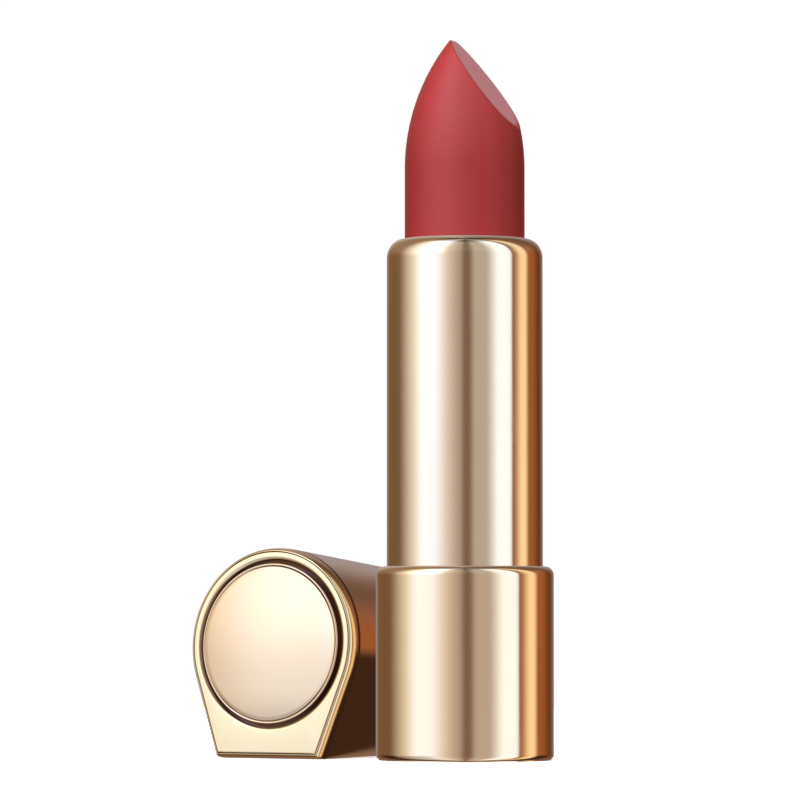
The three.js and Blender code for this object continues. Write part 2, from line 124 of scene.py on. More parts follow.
class LipstickCapSettings(bpy.types.PropertyGroup):
    """The cap, in its own frame: Z from its mouth to its closed end, -Y towards its foot."""

    mouth_radius: length("Mouth radius", "Outside of the cap's round mouth", 9.4)
    bore_radius: length("Bore radius", "Inside of the cap's shell", 9.0)
    bore_depth: length("Bore depth", "Depth of the shell's bore", 36.35)
    shell_end: length("Shell end", "Shell's end face from the mouth", 37.65)
    seam: length("Seam", "Gap between the shell and the end frame", 0.05)
    seam_chamfer: length("Seam chamfer", "Broken edges of the seam", 0.12)
    frame_thickness: length("Frame thickness", "Thickness of the keyhole frame", 1.5)
    end_radius: length("End radius", "Arc of the keyhole outline", 10.29)
    foot_distance: length("Foot distance", "Keyhole's foot from the arc's centre", 12.15)
    side_slope: angle("Side slope", "Keyhole's straight sides from the vertical", 20)
    corner: length("Corner", "Rounding of the keyhole's foot corners", 0.3)
    bead: length("Bead", "Width of the bead round the frame's outer edge", 0.38)
    bead_depth: length("Bead depth", "Depth over which the frame's bead rounds", 1.22)
    crease: length("Crease", "Width of the crease between the bead and the frame's face", 0.14)
    crease_depth: length("Crease depth", "Depth of the crease", 0.09)
    hole_radius: length("Hole radius", "Hole in the frame round the medallion", 8.92)
    hole_edge: length("Hole edge", "Rounding of the frame's hole", 0.42)
    mouth_edge: length("Mouth edge", "Rounding of the mouth's edges", 0.1)
    medallion_radius: length("Medallion radius", "Outside of the medallion", 8.59)
    medallion_back: length("Medallion back", "Medallion's back from the shell's end face", 0.3)
    medallion_proud: length("Medallion proud", "Medallion's edge proud of the frame", 0.2)
    dome: length("Dome", "Rise of the medallion's face", 0.5)
    medallion_edge: length("Medallion edge", "Radius of the bead round the medallion", 0.15)
    bead_groove: length("Bead groove", "Width of the fine groove inside the bead", 0.1)
    liner_clear: length("Liner clear", "Radius left free between the liner's ribs", 8.28)
    rib_height: length("Rib height", "How far the ribs stand in from the liner", 0.22)
    liner_wall: length("Liner wall", "Thickness of the liner's wall", 0.45)
    liner_recess: length("Liner recess", "Liner's rim inside the mouth", 0.3)
    liner_floor: length("Liner floor", "Liner's closed end from the mouth", 35.6)
    liner_end: length("Liner end", "Thickness of the liner's closed end", 0.7)
    rib_from: length("Rib start", "Ribs' start from the mouth", 2.0)
    rib_length: length("Rib length", "Length of a rib", 10.0)
    rib_width: length("Rib width", "Width of a rib", 0.8)
    rib_count: bpy.props.IntProperty(name="Ribs", description="Number of ribs", default=6, min=2)


class LipstickFinishSettings(bpy.types.PropertyGroup):
    """Colours of the finishes."""

    gold: tint("Gold", "Polished gold of the shells", (0.85, 0.70, 0.50))
    base_gold: tint("Base gold", "Gold of the base, a little deeper", (0.87, 0.69, 0.45))
    frame_gold: tint("Frame gold", "Gold of the cap's end frame", (0.73, 0.565, 0.31))
    # Painted shade: the medallion's gold is a darker copy of the shell's gold, standing in for light its face
    # lacks.
    disc_gold_shaded: tint("Medallion gold", "Gold of the medallion", (0.72, 0.525, 0.325))
    # Painted shade: the dark colour painted in gaps, grooves and seams, where little light comes.
    gap_shade: tint("Gap gold", "Gold in gaps and grooves, where little light comes", (0.075, 0.030, 0.012))
    wax: tint("Wax", "Pigmented wax of the bullet", (0.40, 0.026, 0.028))
    # Painted light: the slanted face's paler wax stands in for the light and sheen the upturned face catches
    # from above.
    cut_wax_lit: tint("Cut wax", "Wax on the slanted face, paler", (0.60, 0.235, 0.25))
    plastic: tint("Plastic", "Natural white plastic", (0.80, 0.77, 0.70))
    paper: tint("Paper", "Blank label", (0.86, 0.83, 0.77))
    steel: tint("Steel", "Turned steel of the weight", (0.56, 0.56, 0.57))
    silicone: tint("Silicone", "Clear silicone of the drag ring", (0.62, 0.61, 0.58))
    foam: tint("Foam", "Adhesive foam behind the medallion", (0.05, 0.05, 0.052))
    floor: tint("Floor", "Pale floor", (0.92, 0.92, 0.92))


class LipstickStageSettings(bpy.types.PropertyGroup):
    """Camera, floor and the ring of soft light."""

    view_azimuth: angle("View azimuth", "Way the camera looks, from +Y towards -X", 32)
    distance: length("Distance", "Camera to the lipstick's axis", 550)
    eye_height: length("Eye height", "Camera above the floor", 15)
    aim_right: length("Aim right", "Centre of the view to the right of the axis", -6.85)
    aim_height: length("Aim height", "Centre of the view above the floor", 38.0)
    view_width: length("View width", "Width seen at the axis", 84.64)
    floor_radius: length("Floor radius", "Radius of the floor", 320)
    floor_drop: length("Floor drop", "Floor below the lipstick's foot", 0.02)


class LipstickSettings(bpy.types.PropertyGroup):
    """Everything that can be changed."""

    case: bpy.props.PointerProperty(type=LipstickCaseSettings, name="Case", description="Base and sleeve")
    bullet: bpy.props.PointerProperty(type=LipstickBulletSettings, name="Bullet", description="Wax stick")
    cap: bpy.props.PointerProperty(type=LipstickCapSettings, name="Cap", description="Cap and its end")
    finish: bpy.props.PointerProperty(type=LipstickFinishSettings, name="Finish", description="Colours")
    stage: bpy.props.PointerProperty(type=LipstickStageSettings, name="Stage", description="Light and camera")


def settings():
    return bpy.context.scene.lipstick


# ---- profiles and turned pieces ----------------------------------------------------------------
def arc(r, z, radius, start, end, steps=10, height=None):
    """Points of an arc about (r, z), between two angles in degrees. A height makes it an ellipse."""
    height = radius if height is None else height
    angles = [math.radians(start + (end - start) * i / steps) for i in range(steps + 1)]
    return [(r + radius * math.cos(a), z + height * math.sin(a)) for a in angles]


def held(profile, closed):
    """The profile with a point close to each end of every long straight, so that flats stay flat."""
    points = []
    count = len(profile)
    for i, a in enumerate(profile):
        points.append(a)
        if i == count - 1 and not closed:
            break
        b = profile[(i + 1) % count]
        span = math.dist(a, b)
        if span > 5 * FLAT_ENDS:
            for t in (FLAT_ENDS / span, 0.5, 1 - FLAT_ENDS / span):
                points.append((a[0] + (b[0] - a[0]) * t, a[1] + (b[1] - a[1]) * t))
    return points


def finish_mesh(bm, name, place=None, recess=None):
    """Welds, faces outwards, places and smooths a bmesh, and makes it an object.

    Recess is a rule on (radius, height) for how far a place is shut in from the light, 0 to 1.
    """
    bmesh.ops.remove_doubles(bm, verts=bm.verts, dist=WELD)
    if recess is not None:
        layer = bm.verts.layers.float.new("recess")
        for vert in bm.verts:
            vert[layer] = recess(math.hypot(vert.co.x, vert.co.y), vert.co.z)
    bmesh.ops.recalc_face_normals(bm, faces=bm.faces)
    if place is not None:
        bm.transform(place)
    mesh = bpy.data.meshes.new(name)
    bm.to_mesh(mesh)
    bm.free()
    mesh.shade_smooth()
    mesh.set_sharp_from_angle(angle=SHARP)
    obj = bpy.data.objects.new(name, mesh)
    bpy.context.scene.collection.objects.link(obj)
    return obj


def skin(bm, rows, along=False):
    """Quads between neighbouring rows of vertices; a row of one vertex is a pole."""
    pairs = list(zip(rows, rows[1:]))
    if along:
        pairs.append((rows[-1], rows[0]))
    for a, b in pairs:
        count = max(len(a), len(b))
        for i in range(count):
            j = (i + 1) % count
            corners = [a[i % len(a)], a[j % len(a)], b[j % len(b)], b[i % len(b)]]
            bm.faces.new(list(dict.fromkeys(corners)))


def round_row(bm, r, z, angles):
    return [bm.verts.new((r * math.cos(a), r * math.sin(a), z)) for a in angles]


def turned(name, profile, place=None, segments=160, recess=None):
    """A profile of (radius, height) points turned about Z. It closes on itself or on the axis."""
    closed = not (profile[0][0] == 0 and profile[-1][0] == 0)
    angles = [2 * math.pi * i / segments for i in range(segments)]
    bm = bmesh.new()
    rows = [round_row(bm, r, z, angles if r else [0.0]) for r, z in held(profile, closed)]
    skin(bm, rows, along=closed)
    return finish_mesh(bm, name, place, recess)


# ---- shader nodes ------------------------------------------------------------------------------
class Wire:
    """A shader socket that adds Math nodes when it is used in an expression."""

    def __init__(self, graph, socket):
        self.graph = graph
        self.socket = socket

    def __add__(self, other):
        return self.graph.math("ADD", self, other)

    __radd__ = __add__

    def __sub__(self, other):
        return self.graph.math("SUBTRACT", self, other)

    def __rsub__(self, other):
        return self.graph.math("SUBTRACT", other, self)

    def __mul__(self, other):
        return self.graph.math("MULTIPLY", self, other)

    __rmul__ = __mul__

    def __truediv__(self, other):
        return self.graph.math("DIVIDE", self, other)

    def __pow__(self, other):
        return self.graph.math("POWER", self, other)


class Graph:
    """A node tree that is filled by one method."""

    def __init__(self, tree):
        self.tree = tree
        self.nodes = tree.nodes
        self.nodes.clear()

    def node(self, kind, settings=None, values=None, out=0):
        """Adds a node with its settings, then its sockets' values and links. A list links several wires."""
        made = self.nodes.new(kind)
        for key, value in (settings or {}).items():
            setattr(made, key, value)
        for key, value in (values or {}).items():
            wires = value if isinstance(value, list) else [value]
            if isinstance(wires[0], Wire):
                for wire in wires:
                    self.tree.links.new(wire.socket, made.inputs[key])
            else:
                made.inputs[key].default_value = value
        return Wire(self, made.outputs[out]) if len(made.outputs) else None

    def math(self, operation, *values):
        return self.node("ShaderNodeMath", {"operation": operation}, dict(enumerate(values)))

    def noise(self, at, scale, detail=3.0, roughness=0.5):
        values = {"Vector": at, "Scale": scale, "Detail": detail, "Roughness": roughness}
        return self.node("ShaderNodeTexNoise", None, values)

    def stretched(self, at, scale):
        return self.node("ShaderNodeMapping", None, {"Vector": at, "Scale": scale})

    def parts(self, vector):
        """The vector's X, Y and Z."""
        return [self.node("ShaderNodeSeparateXYZ", None, {"Vector": vector}, out=i) for i in range(3)]

    def blend(self, factor, a, b):
        """Mixes two colours."""
        a, b = ((*value, 1.0) if isinstance(value, tuple) else value for value in (a, b))
        return self.node("ShaderNodeMix", {"data_type": "RGBA"}, {0: factor, 6: a, 7: b}, out=2)

    def scaled(self, colour, factor):
        return self.node("ShaderNodeVectorMath", {"operation": "SCALE"}, {"Vector": colour, "Scale": factor})

    def total(self, colour, *others):
        for other in others:
            colour = self.node("ShaderNodeVectorMath", {"operation": "ADD"}, {0: colour, 1: other})
        return colour

    def ramp(self, value, low, high, to_low=0.0, to_high=1.0):
        """Maps a value from one range to another with soft ends."""
        settings = {"interpolation_type": "SMOOTHSTEP"}
        values = {"Value": value, "From Min": low, "From Max": high, "To Min": to_low, "To Max": to_high}
        return self.node("ShaderNodeMapRange", settings, values)

    def bump(self, height, distance):
        return self.node("ShaderNodeBump", None, {"Height": height, "Distance": distance})


def material(name):
    """A new material, its emptied graph and the piece's own coordinates."""
    made = bpy.data.materials.new(name)
    made.use_nodes = True
    graph = Graph(made.node_tree)
    at = graph.node("ShaderNodeTexCoord", out="Object")
    return made, graph, at


def surface(graph, values):
    shader = graph.node("ShaderNodeBsdfPrincipled", None, values)
    graph.node("ShaderNodeOutputMaterial", None, {"Surface": shader})


def shade(rgb, factor):
    return tuple(min(1.0, c * factor) for c in rgb)


def polished_gold(name, rgb, roughness=0.09, painted_shade=None):
    """Anodised metal: clear reflections, faint drift of tone, rare hairlines and a trace of handling.

    With a painted shade colour, the places that the piece's recess attribute marks are painted that dark
    colour, as painted shade in gaps and grooves.
    """
    made, graph, at = material(name)
    drift = graph.noise(at, scale=90.0, detail=2.0)
    handling = graph.ramp(graph.noise(at, scale=160.0, detail=4.0, roughness=0.6), 0.5, 0.72)
    grain = graph.noise(graph.stretched(at, (900.0, 900.0, 9000.0)), scale=1.0, detail=2.0)
    along = graph.stretched(at, (700.0, 5200.0, 700.0))
    hairline = graph.ramp(graph.noise(along, scale=1.0, detail=5.0, roughness=0.7), 0.66, 0.74)
    colour = graph.blend(drift, shade(rgb, 0.97), shade(rgb, 1.03))
    rough = roughness - 0.015 + 0.02 * drift + 0.025 * handling + 0.012 * grain + 0.04 * hairline
    if painted_shade:
        # Painted shade: where the recess attribute marks a gap or groove, the colour turns to the painted
        # shade colour.
        recess = graph.node("ShaderNodeAttribute", {"attribute_name": "recess"}, out=2)
        colour = graph.blend(recess, colour, painted_shade)
        rough = rough + 0.25 * recess
    height = graph.noise(at, scale=420.0, detail=2.0) + 0.12 * hairline
    normal = graph.bump(height, 0.0045 * MM)
    surface(graph, {"Base Color": colour, "Metallic": 1.0, "Roughness": rough, "Normal": normal})
    return made


def nose_shape(wax):
    """The stick's radius, how far the centre of the nose's arc is off the axis, and the nose's height."""
    radius = (BULLET[1].x - BULLET[0].x) / 2
    centre = radius - wax.nose_arc
    return radius, centre, math.sqrt(wax.nose_arc**2 - (wax.tip_offset - centre) ** 2)


def pigmented_wax(name, rgb, lit_face_rgb, wax):
    """Moulded lipstick wax: satin, with mottled pigment and fine mould marks, and painted light on the cut
    face, painted paler for the light and sheen it catches from above.
    """
    made, graph, at = material(name)
    mottle = graph.noise(at, scale=700.0, detail=4.0, roughness=0.6)
    cloud = graph.noise(at, scale=140.0)
    draw = graph.noise(graph.stretched(at, (2600.0, 2600.0, 60.0)), scale=1.0)
    x, y, z = graph.parts(at)
    slant, turn, tip_z = wax.face_slant, wax.face_azimuth, BULLET[1].z
    _, centre, rise = nose_shape(wax)
    up = z - (tip_z - rise)
    side = centre + (wax.nose_arc**2 - up * up) ** 0.5
    inside = side - (x * x + y * y) ** 0.5
    out = x * math.cos(turn) + y * math.sin(turn)
    depth = (out + wax.tip_offset) * math.cos(slant) + (z - tip_z) * math.sin(slant)
    # The painted light on the slanted face fades out just short of its edges.
    cut = graph.ramp(depth, -0.16 * MM, -0.05 * MM) * graph.ramp(inside, 0.1 * MM, 0.36 * MM)
    colour = graph.blend(mottle * 0.5 + cloud * 0.5, shade(rgb, 0.9), shade(rgb, 1.1))
    colour = graph.blend(cut, colour, lit_face_rgb)
    rough = 0.38 + 0.04 * cloud + 0.03 * draw + 0.08 * cut
    height = 0.55 * draw + 0.35 * mottle + 0.3 * graph.noise(at, scale=2600.0, detail=2.0)
    values = {
        "Base Color": colour,
        "Roughness": rough,
        "IOR": 1.47,
        "Specular IOR Level": 0.4,
        "Subsurface Weight": 0.04,
        "Subsurface Radius": (1.2 * MM, 0.3 * MM, 0.3 * MM),
        "Subsurface Scale": 1.0,
        "Normal": graph.bump(height, 0.008 * MM),
    }
    surface(graph, values)
    return made


def moulded_plastic(name, rgb):
    """Natural injection moulding: slightly cloudy, satin, with faint flow streaks along the draw."""
    made, graph, at = material(name)
    cloud = graph.noise(at, scale=110.0)
    flow = graph.noise(graph.stretched(at, (1500.0, 1500.0, 90.0)), scale=1.0)
    grain = graph.noise(at, scale=3200.0, detail=2.0)
    colour = graph.blend(0.6 * cloud + 0.4 * flow, shade(rgb, 0.93), shade(rgb, 1.04))
    values = {
        "Base Color": colour,
        "Roughness": 0.38 + 0.06 * flow + 0.05 * grain,
        "Normal": graph.bump(flow + 0.5 * grain, 0.008 * MM),
    }
    surface(graph, values)
    return made


def satin_paper(name, rgb):
    """Coated label stock: fibres under a satin film."""
    made, graph, at = material(name)
    fibre = graph.noise(graph.stretched(at, (2400.0, 700.0, 700.0)), scale=1.0, detail=6.0, roughness=0.7)
    cloud = graph.noise(at, scale=260.0)
    colour = graph.blend(0.5 * fibre + 0.5 * cloud, shade(rgb, 0.94), shade(rgb, 1.04))
    values = {
        "Base Color": colour,
        "Roughness": 0.48 + 0.12 * fibre,
        "Normal": graph.bump(fibre, 0.015 * MM),
    }
    surface(graph, values)
    return made


def turned_steel(name, rgb):
    """Lathe-cut steel with fine concentric tool marks."""
    made, graph, at = material(name)
    marks = graph.node(
        "ShaderNodeTexWave",
        {"wave_type": "RINGS", "rings_direction": "Z"},
        {"Vector": at, "Scale": 1400.0, "Distortion": 0.6, "Detail": 2.0},
        out=1,
    )
    tone = graph.noise(at, scale=120.0)
    values = {
        "Base Color": graph.blend(tone, shade(rgb, 0.88), shade(rgb, 1.06)),
        "Metallic": 1.0,
        "Roughness": 0.28 + 0.12 * marks + 0.06 * tone,
        "Normal": graph.bump(marks, 0.010 * MM),
    }
    surface(graph, values)
    return made


def soft_rubber(name, rgb, roughness):
    """Silicone or closed foam: matt, faintly speckled."""
    made, graph, at = material(name)
    speck = graph.noise(at, scale=1900.0, detail=4.0, roughness=0.7)
    cloud = graph.noise(at, scale=200.0)
    values = {
        "Base Color": graph.blend(0.5 * speck + 0.5 * cloud, shade(rgb, 0.85), shade(rgb, 1.12)),
        "Roughness": roughness + 0.12 * speck,
        "Normal": graph.bump(speck, 0.02 * MM),
    }
    surface(graph, values)
    return made


FINISHES = {}


def unmirrored(obj):
    """Leaves the piece out of its neighbours' reflections, which then show the soft lights alone."""
    obj.visible_glossy = False


def dress(obj, item):
    obj.data.materials.clear()
    obj.data.materials.append(item)


def paint_node(name, finish):
    """Gives a CAD node's own slots a finish."""
    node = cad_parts[name]
    unmirrored(node)
    for slot in node.material_slots:
        slot.material = FINISHES[finish]


def hand_over(obj, finish, body, node):
    """A finished piece: wears its finish, hides its CAD node and stands in for it, and rides on its body."""
    dress(obj, FINISHES[finish])
    unmirrored(obj)
    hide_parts(node)
    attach(obj, body)


# ---- the cap's own frame -----------------------------------------------------------------------
def cap_place():
    """From the cap's own frame to where it lies: on its foot and its mouth, as the CAD shell's box tells."""
    cap = settings().cap
    tilt = math.atan2(cap.foot_distance - cap.mouth_radius, cap.shell_end - cap.seam_chamfer)
    centre_x = (CAP[0].x + CAP[1].x) / 2
    mouth_y = CAP[1].y - cap.mouth_radius * math.sin(tilt)
    mouth_z = cap.mouth_radius * math.cos(tilt)
    turn = Matrix.Rotation(math.pi / 2 - tilt, 4, "X")
    return Matrix.Translation((centre_x, mouth_y, mouth_z)) @ turn


CROWN_STEPS, SIDE_STEPS, CORNER_STEPS, FOOT_STEPS = 150, 14, 8, 16


def keyhole(inset, cap):
    """Outline of the cap's end as (point, way it faces) pairs, starting at the right side's top."""
    left, right, down = math.pi + cap.side_slope, 2 * math.pi - cap.side_slope, 1.5 * math.pi
    centre_inset = max(inset, cap.corner)
    tight = cap.corner - min(inset, cap.corner)
    corner_y = centre_inset - cap.foot_distance
    across = (cap.end_radius - centre_inset + corner_y * math.sin(cap.side_slope)) / math.cos(cap.side_slope)

    def bend(x, y, radius, start, end, steps):
        ways = [start + (end - start) * i / steps for i in range(steps + 1)]
        return [((x + radius * math.cos(t), y + radius * math.sin(t)), t) for t in ways]

    def straight(start, end, facing, steps):
        (ax, ay), (bx, by) = start[0], end[0]
        shares = [i / steps for i in range(1, steps)]
        return [((ax + (bx - ax) * f, ay + (by - ay) * f), facing) for f in shares]

    crown = bend(0, 0, cap.end_radius - inset, -cap.side_slope, left, CROWN_STEPS)
    left_corner = bend(-across, corner_y, tight, left, down, CORNER_STEPS)
    right_corner = bend(across, corner_y, tight, down, right, CORNER_STEPS)
    left_side = straight(crown[-1], left_corner[0], left, SIDE_STEPS)
    foot = straight(left_corner[-1], right_corner[0], down, FOOT_STEPS)
    right_side = straight(right_corner[-1], crown[0], right, SIDE_STEPS)
    return crown + left_side + left_corner + foot + right_corner + right_side


def keyhole_row(bm, inset, z, cap):
    return [bm.verts.new((x, y, z)) for (x, y), _ in keyhole(inset, cap)]


def end_levels(cap):
    """Heights of the end frame's back and front, from the cap's mouth."""
    back = cap.shell_end + cap.seam
    return back, back + cap.frame_thickness


# ---- operators ---------------------------------------------------------------------------------
class MakeLipstickFinishes(bpy.types.Operator):
    """Make the finishes that the pieces share."""

    bl_idname = "lipstick.finishes"
    bl_label = "Finishes"

    def execute(self, context):
        colours = settings().finish
        # gap is the painted shade colour for gaps, grooves and seams.
        gap = tuple(colours.gap_shade)
        cut_wax_lit = tuple(colours.cut_wax_lit)
        FINISHES["gold"] = polished_gold("polished_gold", colours.gold)
        FINISHES["base"] = polished_gold("base_gold", colours.base_gold, painted_shade=gap)
        FINISHES["shell"] = polished_gold("shell_gold", colours.gold, painted_shade=gap)
        FINISHES["frame"] = polished_gold("frame_gold", colours.frame_gold, painted_shade=gap)
        # The medallion's darker gold carries painted shade.
        FINISHES["disc"] = polished_gold("medallion_gold", colours.disc_gold_shaded, roughness=0.12, painted_shade=gap)
        FINISHES["wax"] = pigmented_wax("pigmented_wax", colours.wax, cut_wax_lit, settings().bullet)
        FINISHES["plastic"] = moulded_plastic("natural_plastic", colours.plastic)
        FINISHES["paper"] = satin_paper("label_paper", colours.paper)
        FINISHES["steel"] = turned_steel("turned_steel", colours.steel)
        FINISHES["silicone"] = soft_rubber("clear_silicone", colours.silicone, roughness=0.42)
        FINISHES["foam"] = soft_rubber("adhesive_foam", colours.foam, roughness=0.8)
        return {"FINISHED"}


class MakeLipstickBase(bpy.types.Operator):
    """Turn the base's shell, with painted shade inside its mouth."""

    bl_idname = "lipstick.base"
    bl_label = "Base"

    def execute(self, context):
        case = settings().case
        outer, top = BASE[1].x, BASE[1].z
        inner = outer - case.base_wall
        mouth = SLEEVE[1].x + case.base_mouth_gap
        edge = case.base_edge
        profile = [
            (outer - case.foot / 2, 0.0),
            *arc(outer - case.foot, case.foot, case.foot, -60, 0),
            *arc(outer - case.shoulder, top - case.shoulder, case.shoulder, 0, 90, 14),
            *arc(mouth + edge, top - edge, edge, 90, 180, 5),
            (mouth, top - case.base_lip),
            (inner, top - case.base_lip),
            (inner, 0.0),
        ]

        # Painted shade: the inside of the base's mouth, where the sleeve goes in, is painted dark.
        def shaded_mouth(r, z):
            return float(r < mouth + 0.6 * edge)

        shell = turned("base_shell_turned", profile, segments=192, recess=shaded_mouth)
        hand_over(shell, finish="base", body="base", node="base_shell")
        return {"FINISHED"}


class MakeLipstickPlate(bpy.types.Operator):
    """Turn the plate that closes the base and the blank label in its recess."""

    bl_idname = "lipstick.plate"
    bl_label = "Plate and label"

    def execute(self, context):
        case = settings().case
        radius, height = PLATE[1].x, PLATE[1].z
        seat = LABEL[1].x + case.label_gap
        sunk = LABEL[1].z + case.label_gap
        soft = case.plate_edge
        profile = [
            (0, sunk),
            (seat, sunk),
            *arc(seat + soft, soft, soft, 180, 270, 5),
            *arc(radius - soft, soft, soft, 270, 360, 5),
            (radius, height),
            (0, height),
        ]
        plate = turned("bottom_plate_turned", profile)
        hand_over(plate, finish="gold", body="base", node="bottom_plate")

        radius, height = LABEL[1].x, LABEL[1].z
        soft = 0.3 * height
        profile = [
            (0, 0),
            *arc(radius - soft, soft, soft, 270, 360, 4),
            *arc(radius - soft, height - soft, soft, 0, 90, 4),
            (0, height),
        ]
        label = turned("shade_label_round", profile)
        hand_over(label, finish="paper", body="base", node="shade_label")
        return {"FINISHED"}


class MakeLipstickSleeve(bpy.types.Operator):
    """Turn the sleeve with its rolled-in mouth."""

    bl_idname = "lipstick.sleeve"
    bl_label = "Sleeve"

    def execute(self, context):
        case = settings().case
        outer, bottom, top = SLEEVE[1].x, SLEEVE[0].z, SLEEVE[1].z
        lip, high, wall = case.lip_width, case.lip_height, case.sleeve_wall
        brim = 0.35 * wall
        profile = [
            (outer, bottom),
            *arc(outer - lip, top - high, lip, 0, 86, 24, high),
            *arc(outer - lip + brim, top - brim, brim, 100, 250, 6),
            *arc(outer - lip, top - high, lip - wall, 84, 0, 14, high - wall),
            (outer - wall, bottom),
        ]
        sleeve = turned("sleeve_turned", profile, segments=192)
        hand_over(sleeve, finish="gold", body="sleeve", node="sleeve_shell")
        return {"FINISHED"}


class MakeLipstickBullet(bpy.types.Operator):
    """Mould the wax stick: a round shank, an ogival nose and one slanted face with a soft edge."""

    bl_idname = "lipstick.bullet"
    bl_label = "Bullet"

    AROUND = 256
    NOSE_ROWS = 210
    SIDE_ROWS = 12
    CROWDING = 1.25  # above 1, the nose's rows stand closer towards the tip
    BLUNTNESS = 0.45  # share of the nib's height that is flattened

    def execute(self, context):
        wax = settings().bullet
        bottom, tip_z = BULLET[0].z, BULLET[1].z
        radius, centre, rise = nose_shape(wax)
        nose = tip_z - rise
        relief, heel = wax.shank_relief, wax.heel
        shank = radius - relief
        step = CUP[1].z + relief
        side = step + relief
        outline = [(shank - heel, bottom), (shank, bottom + heel), (shank, step - FLAT_ENDS), (shank, step)]
        outline += arc(shank, side, relief, -60, 0, 5)
        outline += [(radius, side + (nose - side) * i / self.SIDE_ROWS) for i in range(1, self.SIDE_ROWS)]

        bm = bmesh.new()
        angles = [2 * math.pi * i / self.AROUND + wax.face_azimuth for i in range(self.AROUND)]
        rows = [[bm.verts.new((0, 0, bottom))]]
        rows += [round_row(bm, r, z, angles) for r, z in outline]
        for i in range(self.NOSE_ROWS):
            z = nose + rise * (1 - (1 - i / self.NOSE_ROWS) ** self.CROWDING)
            r = centre + math.sqrt(wax.nose_arc**2 - (z - nose) ** 2)
            rows.append(self.cut_row(bm, r, z, tip_z, wax))
        turn, out = wax.face_azimuth, -wax.tip_offset
        tip = (out * math.cos(turn), out * math.sin(turn), self.blunted(tip_z, tip_z, wax.nib))
        rows.append([bm.verts.new(tip)])
        skin(bm, rows)
        hand_over(finish_mesh(bm, "wax_bullet"), finish="wax", body="carrier", node="bullet")
        return {"FINISHED"}

    def blunted(self, z, tip_z, nib):
        """The height with the last of the tip flattened."""
        t = max(0.0, (z - tip_z + nib) / nib)
        return z if t == 0 else tip_z - nib + nib * (t - self.BLUNTNESS * t * t)

    def cut_row(self, bm, r, z, tip_z, wax):
        """A level section of the nose: a circle, cut short where the slanted face passes."""
        cos_turn, sin_turn = math.cos(wax.face_azimuth), math.sin(wax.face_azimuth)
        height = self.blunted(z, tip_z, wax.nib)
        face = (tip_z - z) * math.tan(wax.face_slant) - wax.tip_offset
        middle = (min(face, r) - r) / 2
        row = []
        for i in range(self.AROUND):
            a = 2 * math.pi * i / self.AROUND
            across, along = math.cos(a), math.sin(a)
            reach = -middle * across + math.sqrt(max(0.0, r * r - (middle * along) ** 2))
            if across > 1e-6:
                flat = (face - middle) / across
                soft = max(min(wax.edge, 0.4 * min(reach, flat)), 1e-9)
                gap = max(soft - abs(reach - flat), 0.0)
                reach = min(reach, flat) - gap * gap / (4 * soft)
            x, y = middle + reach * across, reach * along
            row.append(bm.verts.new((x * cos_turn - y * sin_turn, x * sin_turn + y * cos_turn, height)))
        return row


class MakeLipstickCapShell(bpy.types.Operator):
    """Draw the cap's shell from a round mouth out to a keyhole, and bore it."""

    bl_idname = "lipstick.cap_shell"
    bl_label = "Cap shell"

    def execute(self, context):
        cap = settings().cap
        outline = keyhole(0.0, cap)
        ways = [facing for _, facing in outline]
        full = cap.shell_end - cap.seam_chamfer
        edge, mouth, bore = cap.mouth_edge, cap.mouth_radius, cap.bore_radius
        bm = bmesh.new()
        rows = [round_row(bm, r, z, ways) for r, z in arc(mouth - edge, edge, edge, 270, 350, 4)]
        for share in (edge / full, 0.25, 0.5, 0.75, 1 - edge / full, 1.0):
            row = []
            for (x, y), facing in outline:
                mx, my = mouth * math.cos(facing), mouth * math.sin(facing)
                row.append(bm.verts.new((mx + (x - mx) * share, my + (y - my) * share, full * share)))
            rows.append(row)
        rows.append(keyhole_row(bm, cap.seam_chamfer, cap.shell_end, cap))
        rows.append([bm.verts.new((0, 0, cap.shell_end))])
        skin(bm, rows)

        inner = held([*arc(bore + edge, edge, edge, 270, 180, 4), (bore, cap.bore_depth)], closed=False)
        inside = [round_row(bm, r, z, ways) for r, z in inner]
        skin(bm, [rows[0], *inside, [bm.verts.new((0, 0, cap.bore_depth))]])

        # Painted shade: the shell's end face in the seam is painted dark.
        def seam_shaded(r, z):
            return float(z > full - SAME_LEVEL)

        shell = finish_mesh(bm, "cap_shell_drawn", cap_place(), seam_shaded)
        hand_over(shell, finish="shell", body="cap", node="cap_shell")
        return {"FINISHED"}


